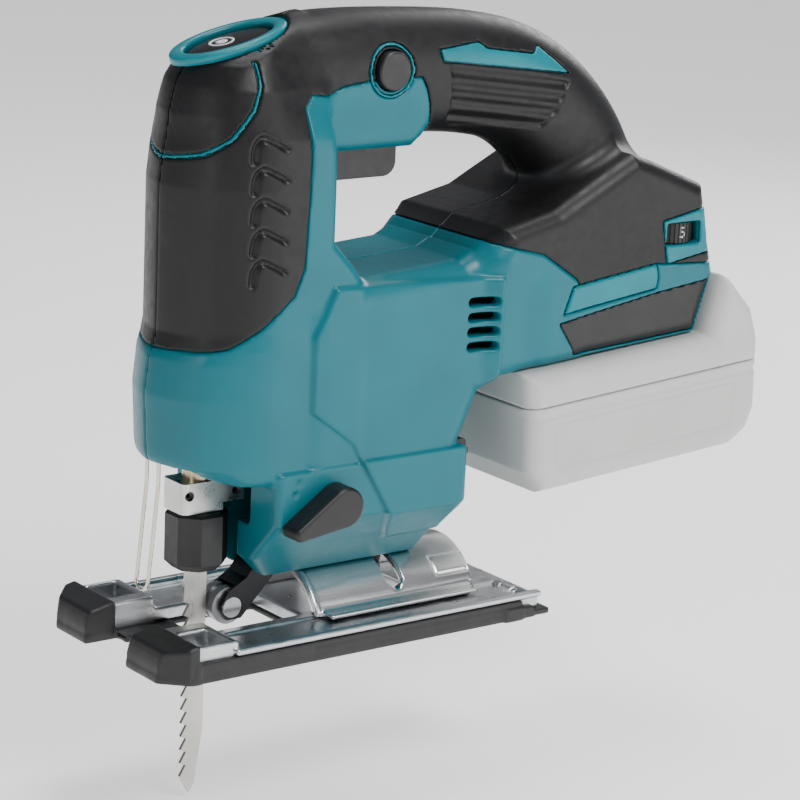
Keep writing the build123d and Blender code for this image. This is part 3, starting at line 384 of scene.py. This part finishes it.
GUARD = [(28, 178), (28, 157.5), (69, 157.5), (72.9, 160.7), (74.7, 165), (72.9, 171.4), (70, 178)]
FOOT_SECTION = [(0, 22), (9.2, 20), (20, 33), (30, 43), (30, 60), (0, 60)]
FOOT_SIDE = [(10, 62), (10, 29), (20, 19), (80, 19), (83, 40), (83, 62)]
SADDLE_TOP = 21.9
WALL, SKIN = 4.2, 1.2
RAISED_FACE = [(30, 118), (22, 103), (22, 79), (38, 67), (42, 60), (52.7, 42), (60, 30), (90, 30),
               (90, 60), (95, 82), (95, 116)]
VALLEY = [(97, 86), (110, 86), (110, 114), (99, 114)]
GRIP = [(-45, 98.3), (-20, 98.5), (-12, 99.5), (-5.8, 101), (3.3, 106.7), (14.8, 116.6), (18.5, 125.5),
        (20, 156), (20.5, 174), (24.5, 177.5), (31.4, 176.4), (38.6, 179), (49.3, 180.3),
        (68.6, 180.4), (70.7, 177), (72.9, 171.4), (74.7, 165), (72.9, 160.7), (66, 150), (80, 140),
        (88, 124), (91, 127), (110.5, 122), (125, 112.5), (127, 110), (160.4, 114.5), (164.8, 114.1),
        (200, 112), (200, 215), (-45, 215)]
HANDLE_STRIPE = [(76, 188.6), (92, 190.3), (95.3, 188.1), (115, 185.4), (117.6, 187.9), (130.7, 178.3),
                 (110, 181), (88.6, 183.6), (77, 185)]
REAR_STRIPE = [(120.5, 101), (160.7, 105.9), (161.5, 110), (160.4, 114.5), (124, 110)]
RAIL_PANEL = [(119, 98), (160.7, 104.4), (186.5, 107.3), (180.4, 89.5), (127, 86.3)]
GRIP_PANEL = [(80, 184.3), (82, 165.7), (84.3, 163.6), (119.3, 161), (124.3, 165.7), (130, 175.7),
              (110, 179.5), (88.6, 182.4)]
SHIELD_EDGE = [(-24, 155), (-18.5, 157.6), (-11.5, 160.6), (-5, 166), (1.5, 174.5), (4.3, 182),
               (4.6, 188)]
DIAL_FRAME = [(162, 128.8), (181.5, 132.5), (183.3, 117.1), (164.8, 114.1)]
DIAL_WINDOW = ((163.8, 178.8), (120.3, 127.9))
FINGER_LEVELS = (166, 156.5, 147, 137.4, 127.9)
VENT_LEVELS = (93.6, 98.5, 103.3, 108.4)
MARK_DOTS = [(21.8, 60.9), (18, 57), (16.6, 53.2), (11.6, 42.1)]
SCREWS = [(40, 58.5, 30), (76, 50, 30), (48, 48, 30), (14, 168, 27), (66, 194, 13), (112, 166, 15),
          (146, 138, 31), (106, 126, 30), (160, 139, 31)]
LOCK, LOCK_R = (56.7, 183.1), 6.2
LEVER, PLUNGER_X = (31.0, 49.0), -0.8
TOP_BUTTON, TOP_TILT = (6.5, 192.5), math.radians(15)
BEZEL, BUTTON = (20.5, 13.5), (15.0, 9.0)
RAIL_START, RAIL_TILT = (110.0, 83.3), math.radians(4)


def tilted(x, z, start, tilt):
    """Coordinates along and above a line that starts at a point and rises at an angle."""
    dx, dz = x - start[0], z - start[1]
    return dx * math.cos(tilt) + dz * math.sin(tilt), dz * math.cos(tilt) - dx * math.sin(tilt)


def nose_form(x, y, z):
    """The upright column round the plunger: oval in plan, with two flat facets in front."""
    front = np.interp(z, *zip(*NOSE_FRONT)).astype(np.float32)
    half = np.interp(z, *zip(*NOSE_HALF)).astype(np.float32)
    half = half - HANDLE_NECK * ramp(20 - x, 34) * ramp(172 - z, 24)
    ahead = np.minimum(x - NOSE_MIDDLE, 0) / (NOSE_MIDDLE - front)
    oval = (np.hypot(ahead, y / half) - 1) * half
    from_ridge = np.sqrt(y * y + RIDGE_SOFT ** 2) - RIDGE_SOFT
    facet = (front + FACET_SLOPE * from_ridge - x) / math.hypot(1, FACET_SLOPE)
    column = meet(oval, facet, 2.5)
    return meet(column, outline(x, z, NOSE_SIDE), 4)


def handle_form(x, y, z):
    """The bent hand grip: an oval section along its centre line."""
    away = stroke(x, z, HANDLE_LINE) / HANDLE_RISE
    section = away ** HANDLE_POWER + (y / HANDLE_HALF) ** HANDLE_POWER
    return (section ** (1 / HANDLE_POWER) - 1) * HANDLE_HALF


def foot_form(x, y, z):
    """The foot over the saddle, hollow below so that the saddle can turn round."""
    foot = meet(outline(y, z, FOOT_SECTION), outline(x, z, FOOT_SIDE), 2)
    return cut(foot, disc(y, z, (0, 0), SADDLE_TOP), 0.5)


def casing_form(x, y, z):
    """The outside of the casing, before its details."""
    body = meet(outline(x, z, BODY), y - 28.5, 8)
    rear = meet(outline(x, z, REAR), y - 32, 6)
    guard = meet(outline(x, z, GUARD), y - 15.5, 5)
    form = join(join(body, rear, 6), nose_form(x, y, z), 3)
    form = join(form, handle_form(x, y, z), 6)
    form = join(form, guard, 4)
    return join(form, foot_form(x, y, z), 1.5)


def casing_relief(x, z):
    """How far the casing's sides stand out from its plain form."""
    height = 1.6 * ramp(outline(x, z, RAISED_FACE), 1.6)
    height = height - 1.8 * ramp(outline(x, z, VALLEY), 14)
    for level in FINGER_LEVELS:
        hook = curve([(0.2, level - 6.6), (0.9, level - 2), (3.2, level + 0.4), (6.4, level - 0.8),
                      (10.6, level - 3)])
        height = height - 1.5 * ramp(stroke(x, z, hook) - 0.7, 2.0)
    panel = ramp(outline(x, z, GRIP_PANEL), 1.2)
    _, rise = tilted(x, z, (82, 165), math.radians(-8))
    ribs = 0.45 * np.cos(rise * 2 * math.pi / 4.6)
    height = height + panel * (ribs - 0.75)
    height = height - 0.9 * ramp(outline(x, z, RAIL_PANEL), 1.2)
    height = height - 0.7 * ramp(np.abs(outline(x, z, REAR_STRIPE)) - 0.4, 0.9)
    height = height - 0.8 * ramp(stroke(x, z, SHIELD_EDGE) - 0.3, 1.2)
    height = height - 0.8 * ramp(np.abs(disc(x, z, LOCK, 8.2)) - 0.2, 1.0)
    for dot in MARK_DOTS:
        height = height - 0.5 * ramp(disc(x, z, dot, 0.8), 0.8)
    return height


def casing_openings(x, y, z, side):
    """What is cut out of the casing on one side."""
    clamp_space = block(x, y, z, (-14, 18), (-14, 14), (40, 81), 2)
    arm_slot = block(x, y, z, (4, 37), (-7, 7), (10, 57), 1)
    trigger_slot = block(x, y, z, (31.4, 67.2), (-8.4, 8.4), (150, 172), 1)
    plunger_bore = meet(disc(x, y, (PLUNGER_X, 0), 8.2), between(z, 60, 96))
    bolt_bore = meet(disc(x, y, (67, 0), 3), between(z, 10, 40))
    u, w = tilted(x, z, RAIL_START, RAIL_TILT)
    neck = block(u, y, w, (0, 110), (-20.5, 20.5), (-9, 13.5))
    tongue = block(u, y, w, (0, 110), (-23.5, 23.5), (2.5, 13.5))
    u, w = tilted(x, z, TOP_BUTTON, TOP_TILT)
    pocket = meet(np.hypot(u / (BEZEL[0] + 0.25), y / (BEZEL[1] + 0.25)) * 16 - 16,
                  between(w, -1.5, 30))
    well = meet(np.hypot(u / (BUTTON[0] + 0.4), y / (BUTTON[1] + 0.4)) * 11 - 11,
                between(w, -12, 30))
    lock_bore = disc(x, z, LOCK, LOCK_R + 0.35) + 0 * y
    parts = [arm_slot, trigger_slot, plunger_bore, bolt_bore, neck, tongue, pocket, well, lock_bore]
    for level in VENT_LEVELS:
        vent = stroke(x, z, [(83.6, level), (92.2, level)]) - 1.4
        parts.append(meet(vent, 20 - y))
    if side < 0:
        parts.append(meet(disc(x, z, LEVER, 4.3), 10 - y))
        window = meet(between(x, *DIAL_WINDOW[0]), between(z, *DIAL_WINDOW[1]))
        parts.append(meet(window, 20 - y))
    else:
        for sx, sz, half in SCREWS:
            parts.append(meet(disc(x, z, (sx, sz), 3.6), half - 6 - y))
    opening = clamp_space
    for part in parts:
        opening = np.minimum(opening, part)
    return opening


def casing_solids(x, y, z):
    """Where the casing has no hollow: round the slots, the rail and the top button."""
    rail_u, rail_w = tilted(x, z, RAIL_START, RAIL_TILT)
    top_u, top_w = tilted(x, z, TOP_BUTTON, TOP_TILT)
    zones = [block(x, y, z, (0, 42), (-10.2, 10.2), (10, 60)),
             block(x, y, z, (-30, 21), (-17, 17), (40, 83)),
             block(x, y, z, (20, 71), (-11, 11), (140, 175)),
             block(rail_u, y, rail_w, (-12, 110), (-40, 40), (-40, 16)),
             block(top_u, y, top_w, (-24, 24), (-17, 17), (-14, 20)),
             meet(disc(x, z, LOCK, LOCK_R + 2), y - 40)]
    solid = zones[0]
    for zone in zones[1:]:
        solid = np.minimum(solid, zone)
    return solid


def build_casing():
    """The two housings, their soft grips and the trims let into their sides."""
    step = 0.6
    grid = Grid((-26, -2 * step, 17), (192, 34.5, 203), step)
    x, y, z = grid.x, np.abs(grid.y), grid.z
    plain = casing_form(x, y, z)
    form = plain - casing_relief(x, z) * ramp(8 - y, 8)
    seam = 0.02 - grid.y
    hollow = cut(plain + WALL, casing_solids(x, y, z), 1)
    grip_edge = outline(x, z, GRIP)
    stripes = np.minimum(outline(x, z, HANDLE_STRIPE), outline(x, z, REAR_STRIPE))
    stripes = np.maximum(stripes, 6 - y)
    panel = np.maximum(outline(x, z, RAIL_PANEL), 20 - y)
    piping = np.minimum(stroke(x, z, SHIELD_EDGE) - 0.45, np.abs(disc(x, z, LOCK, 8.2)) - 0.5)
    frame_edge = outline(x, z, DIAL_FRAME)
    for side, name in ((-1, "left"), (1, "right")):
        openings = casing_openings(x, y, z, side)
        shell = np.maximum(cut(form, openings, 0.7), seam)
        walls = np.maximum(shell, -hollow)
        inlays = np.minimum(np.minimum(stripes, panel), piping + 0 * y)
        if side < 0:
            inlays = np.minimum(inlays, np.maximum(frame_edge, 15 - y))
        outside = meet(walls, 0.15 - inlays, 0.3)
        core = -(form + SKIN)
        skin = np.maximum(outside, core)
        grip = meet(skin, grip_edge + 0.18, 0.35)
        shell_wall = np.maximum(walls, np.minimum(-core, np.maximum(0.15 - inlays, 0.18 - grip_edge)))
        grip_name, housing_name = f"{name}_grip", f"{name}_housing"
        add_piece(f"{housing_name}_shell", mesh_from_field(housing_name, shell_wall, grid, side),
                  "teal_shell", "tool", housing_name)
        add_piece(f"{grip_name}_skin", mesh_from_field(grip_name, grip, grid, side),
                  "soft_grip", "tool", grip_name)
        for label, slot_name, shape, lift in (("stripes", "teal_trim", stripes, 0.25),
                                              ("piping", "teal_trim", piping + 0 * y, 0.55),
                                              ("panel", "black_plastic", panel, 0.0)):
            inlay = np.maximum(cut(form - lift, openings, 0.5), core)
            inlay = meet(np.maximum(inlay, seam), shape + 0.1, 0.3)
            add_piece(f"{name}_{label}", mesh_from_field(label, inlay, grid, side), slot_name, "tool")
        if side < 0:
            dial_frame = np.maximum(cut(form - 0.5, openings, 0.8), core)
            dial_frame = meet(dial_frame, np.maximum(frame_edge, 15 - y) + 0.1, 0.4)
            add_piece("dial_surround", mesh_from_field("dial_surround", dial_frame, grid, side),
                      "teal_trim", "tool", "dial_frame")


build_casing()
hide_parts("side_trims")
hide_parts("rail_panels")

# ---- top button -----------------------------------------------------------------------
top_place = (Matrix.Translation((TOP_BUTTON[0] * MM, 0, TOP_BUTTON[1] * MM))
             @ Matrix.Rotation(-TOP_TILT, 4, "Y"))


def turned(name, profile, squeeze=1.0, place=None, steps=96):
    """A closed profile of (radius, height) turned round an upright axis, narrowed along Y."""
    rows = []
    for i in range(steps):
        angle = 2 * math.pi * i / steps
        rows += [(r * math.cos(angle) * MM, r * math.sin(angle) * squeeze * MM, h * MM)
                 for r, h in profile]
    count = len(profile)
    faces = []
    for i in range(steps):
        for k in range(count):
            a, b = i * count, (i + 1) % steps * count
            faces.append((a + k, b + k, b + (k + 1) % count, a + (k + 1) % count))
    mesh = bpy.data.meshes.new(name)
    mesh.from_pydata(rows, [], faces)
    if place is not None:
        mesh.transform(place)
    for face in mesh.polygons:
        face.use_smooth = True
    mesh.validate()
    return mesh


def round_bar(inner, outer, low, high, steps=16):
    """The section of a ring with a rounded top."""
    middle_r, half = (inner + outer) / 2, (outer - inner) / 2
    crown = [(middle_r + half * math.cos(t), high - half * 0.5 * (1 - math.sin(t)))
             for t in np.linspace(0, math.pi, steps)]
    return [(inner, low), (outer, low), *crown]


NARROW, LENS_NARROW = BEZEL[1] / BEZEL[0], 0.62
RING_INNER, LENS_R = 15.6, 14.9
add_piece("top_ring", turned("top_ring", round_bar(RING_INNER, BEZEL[0], -1.4, 1.6), NARROW, top_place),
          "teal_trim", "tool", "top_bezel")
dome = [(0.01, -4), (LENS_R, -4), *[(LENS_R * math.cos(t), -0.6 + 1.2 * math.sin(t))
                                    for t in np.linspace(0, 1.57, 14)]]
add_piece("top_lens", turned("top_lens", dome, LENS_NARROW, top_place), "gloss_button", "top_button",
          "mode_button")
icon_place = top_place @ Matrix.Translation((-2.6 * MM, 0, 0.62 * MM))
for label, inner, outer in (("icon_ring", 3.3, 4.1), ("icon_dot", 0.05, 1.9)):
    flat = [(inner, -0.2), (outer, -0.2), (outer, 0.06), (inner, 0.06)]
    add_piece(label, turned(label, flat, 1.0, icon_place, 48), "white_mark", "top_button")


# ---- dial ------------------------------------------------------------------------------
def raised_text(name, text, size, place):
    """A short generic marking as a thin raised mesh."""
    letters = bpy.data.curves.new(name, "FONT")
    letters.body, letters.size, letters.extrude = text, size * MM, 0.05 * MM
    letters.align_x, letters.align_y = "CENTER", "CENTER"
    source = bpy.data.objects.new(name + "_source", letters)
    bpy.context.scene.collection.objects.link(source)
    bpy.context.view_layer.update()
    mesh = bpy.data.meshes.new_from_object(source.evaluated_get(bpy.context.evaluated_depsgraph_get()))
    bpy.data.objects.remove(source)
    mesh.transform(place)
    return mesh


DIAL = (171.2, -22.0, 124.1)
digit_place = (Matrix.Translation((DIAL[0] * MM, (DIAL[1] - 9.42) * MM, DIAL[2] * MM))
               @ Matrix.Rotation(math.pi / 2, 4, "X"))
add_piece("dial_digit", raised_text("dial_digit", "5", 5.4, digit_place), "white_mark", "dial")

# ---- shoe -----------------------------------------------------------------------------
SHOE_FRONT, SHOE_REAR, SHOE_HALF = -33.7, 116.5, 38.0
BUMPER_REAR, PLATE_NOSE, PLATE_TOP = -22.5, -9.0, 7.0
SADDLE_R, SADDLE_WALL, SADDLE_ENDS = 21.5, 2.6, (33.0, 98.0)
SOLE_THICK, OPENING_HALF, PRONG_TOP = 2.2, 14, 11
BLADE_WINDOW, BOLT_WINDOW = ((-1, 31), (-14, 14)), ((56, 80), (-17, 17))
RIVET_SPOTS, RIVET_R = ((-4, 23), (108, 20)), 1.5
SLOT_ENDS, SLOT_END_ANGLE = (63.8, 70.2), 36
INDEX_FRAME, INDEX_DEPTH = ((84, 97), (12.8, 17.6)), 0.35


def build_shoe():
    """The black cover under the sole with its two bumpers, and the metal plate in it."""
    step = 0.5
    grid = Grid((-36, -40, -2), (119, 40, 15), step)
    x, y, z = grid.x, np.abs(grid.y), grid.z
    edge = [(SHOE_FRONT, -30), (SHOE_FRONT, 30), (-25, SHOE_HALF), (SHOE_REAR, SHOE_HALF),
            (SHOE_REAR, -SHOE_HALF), (-25, -SHOE_HALF)]
    base = meet(outline(x, grid.y, edge), between(z, 0, SOLE_THICK), 0.5)
    wall = block(x, y, z, (-24, 105), (36.1, SHOE_HALF), (0, 6.3), 0.5)
    wall = join(wall, block(x, y, z, (98, 110), (34.5, SHOE_HALF), (0, 3.8), 0.5), 2)
    bumper_edge = [(SHOE_FRONT, 12.4), (SHOE_FRONT, 30.5), (-26.5, SHOE_HALF), (BUMPER_REAR, SHOE_HALF),
                   (BUMPER_REAR, 11)]
    slope = z - (10 + 0.23 * (x - SHOE_FRONT))
    bevel = (SHOE_FRONT + 0.35 * (z - 6) - x) * 0.94
    bumper = meet(meet(outline(x, y, bumper_edge), slope, 1.2), -z, 0.6)
    bumper = meet(bumper, bevel + 0 * y, 0.8)
    cover = join(join(base, wall), bumper, 1)
    holes = np.minimum(block(x, y, z, (-60, 0), (-6, 6), (-5, 20)),
                       block(x, y, z, (-60, BUMPER_REAR), (-12, 12), (-5, 20)))
    holes = np.minimum(holes, block(x, y, z, *BLADE_WINDOW, (-5, 20)))
    holes = np.minimum(holes, block(x, y, z, *BOLT_WINDOW, (-5, 20)))
    groove = np.hypot(y - 38.1, z - 4.9) - 0.55 + 0 * x
    pocket = block(x, y, z, (BUMPER_REAR - 6, BUMPER_REAR + 3), (17, 34), (2.2, 10))
    cover = cut(cut(cut(cover, holes), pocket, 0.3), np.maximum(groove, 20 - x), 0.3)
    add_piece("sole_cover", mesh_from_field("sole_cover", cover, grid), "shoe_plastic", "base",
              "cover_plate")

    plate = block(x, y, z, (PLATE_NOSE, 113), (-35.9, 35.9), (2.3, PLATE_TOP), 0.5)
    rim = block(x, y, z, (PLATE_NOSE, 113), (34.6, 37.8), (6.45, 8.6), 0.9)
    prong = block(x, y, z, (BUMPER_REAR, PLATE_NOSE + 2), (OPENING_HALF, 35.9), (2.3, PRONG_TOP), 0.8)
    tang = block(x, y, z, (BUMPER_REAR - 5.8, PLATE_NOSE), (17.2, 33.8), (2.3, 9.8), 0.5)
    lip = meet(disc(x, y, (-14.5, 19), 8.6), between(z, 2.3, 7.6), 0.8)
    metal = join(join(plate, rim, 0.8), join(join(prong, tang), lip, 1.5), 1)
    hollow = block(x, y, z, (BUMPER_REAR + 1.8, PLATE_NOSE - 0.5), (20.5, 34), (4, 20), 1.2)
    tray = block(x, y, z, (PLATE_NOSE + 8, 109), (18.5, 33), (PLATE_TOP - 0.8, 20), 0.5)
    window = np.minimum(block(x, y, z, (-60, 31), (-OPENING_HALF, OPENING_HALF), (-5, 20)),
                        block(x, y, z, *BOLT_WINDOW, (-5, 20)))
    metal = cut(cut(cut(metal, window), hollow), tray, 0.4)
    for spot in RIVET_SPOTS:
        metal = cut(metal, disc(x, y, spot, RIVET_R) + 0 * z, 0.2)
    notch = block(x, y, z, (106, 111), (26, 34), (5, 20), 0.6)
    metal = cut(metal, notch, 0.4)
    add_piece("sole_plate", mesh_from_field("sole_plate", metal, grid), "shoe_metal", "base",
              "shoe_plate")


def build_saddle():
    """The bright half-round saddle that the foot tilts on, with its slot and index frame."""
    step = 0.5
    grid = Grid((SADDLE_ENDS[0] - 2, -28, 4), (SADDLE_ENDS[1] + 2, 28, 24), step)
    x, y, z = grid.x, np.abs(grid.y), grid.z
    radius = np.hypot(y, z)
    shell = meet(between(radius, SADDLE_R - SADDLE_WALL, SADDLE_R), between(x, *SADDLE_ENDS), 0.6)
    shell = meet(shell, PLATE_TOP + 0.05 - z, 0.3)
    flange = block(x, y, z, (36, 96), (18.5, 25), (PLATE_TOP + 0.05, 8.6), 0.6)
    saddle = join(shell, flange, 1.2)
    front_end = between(x, SADDLE_ENDS[0], SADDLE_ENDS[0] + 2.2)
    ridge = meet(between(radius, 19, SADDLE_R + 0.35), front_end, 0.5)
    saddle = join(saddle, meet(ridge, 8 - z, 0.5), 0.4)
    angle = np.degrees(np.arctan2(z, y))
    bolt_slot = meet(between(x, *SLOT_ENDS), (SLOT_END_ANGLE - angle) * 0.35, 1.5)
    spy_hole = np.hypot(x - 67, z - 12.5) - 1.7
    saddle = cut(cut(saddle, bolt_slot, 0.4), np.maximum(spy_hole, 10 - y), 0.3)
    frame_line = np.abs(np.maximum(between(x, *INDEX_FRAME[0]), between(z, *INDEX_FRAME[1]))) - 0.3
    saddle = cut(saddle, np.maximum(frame_line, SADDLE_R - INDEX_DEPTH - radius), 0.2)
    add_piece("saddle", mesh_from_field("saddle", saddle, grid), "saddle_metal", "base",
              "bevel_saddle")


build_shoe()
build_saddle()

# ---- battery --------------------------------------------------------------------------
PACK_SIDE = [(-6, -0.4), (-6, -34), (-1, -42), (84, -42), (92, -38), (96, -30), (97, -5), (94, 6),
             (84, 18), (81.2, 19.5), (73.2, -0.4)]
PACK_HALF, PACK_SEAM = 37.0, -12.0
LABEL = [(4, -33), (82, -33), (84, -18), (4, -18)]
rail_place = (Matrix.Translation((RAIL_START[0] * MM, 0, RAIL_START[1] * MM))
              @ Matrix.Rotation(-RAIL_TILT, 4, "Y"))


def build_battery():
    """The slide-on pack in two mouldings, drawn along its own rail."""
    step = 0.7
    grid = Grid((-8, -39, -44), (99, 39, 21), step)
    u, y, w = grid.x, np.abs(grid.y), grid.z
    pack = meet(outline(u, w, PACK_SIDE), y - PACK_HALF, 6)
    label = np.abs(outline(u, w, LABEL)) - 0.5
    side_zone = ramp(30 - y, 4)
    band = ramp(outline(u, w, [(-10, -16.5), (100, -16.5), (100, -14.5), (-10, -14.5)]), 0.9)
    ribs = sum(ramp(stroke(u, w, [(at, -9), (at, -3)]) - 0.7, 1.2) for at in range(70, 92, 4))
    pack = pack + side_zone * (0.5 * ramp(label, 0.9) + 0.5 * band - 0.5 * ribs)
    tongue = np.minimum(block(u, y, w, (1, 79), (-20, 20), (-3, 4)),
                        block(u, y, w, (1, 79), (-23, 23), (2.9, 12.9)))
    pack = np.minimum(pack, tongue)
    for at in (-14, 0, 14):
        pack = cut(pack, block(u, grid.y, w, (-2, 36), (at - 1.2, at + 1.2), (4, 30), 0.3), 0.2)
    latch_pocket = block(u, y, w, (94, 110), (-14.4, 14.4), (-11.4, 2.4))
    pack = cut(pack, latch_pocket, 0.4)
    seam = w - PACK_SEAM
    for label_name, piece in (("battery_lower", meet(pack, seam + 0.12, 0.5)),
                              ("battery_upper", meet(pack, 0.12 - seam, 0.5))):
        add_piece(f"{label_name}_shell", mesh_from_field(label_name, piece, grid, turn=rail_place),
                  "pack_plastic", "battery", f"{label_name}_case")


build_battery()

# ---- the CAD nodes that keep their shape ----------------------------------------------
for part in frame["record"]["subparts"]:
    node = nodes[part["node"]]
    if node.hide_render:
        continue
    node.data.materials.clear()
    node.data.materials.append(materials[part["material_slot"]])
    bevel = node.modifiers.new("rounded edges", "BEVEL")
    bevel.width, bevel.segments = 0.25 * MM, 2
    bevel.limit_method, bevel.angle_limit = "ANGLE", math.radians(40)
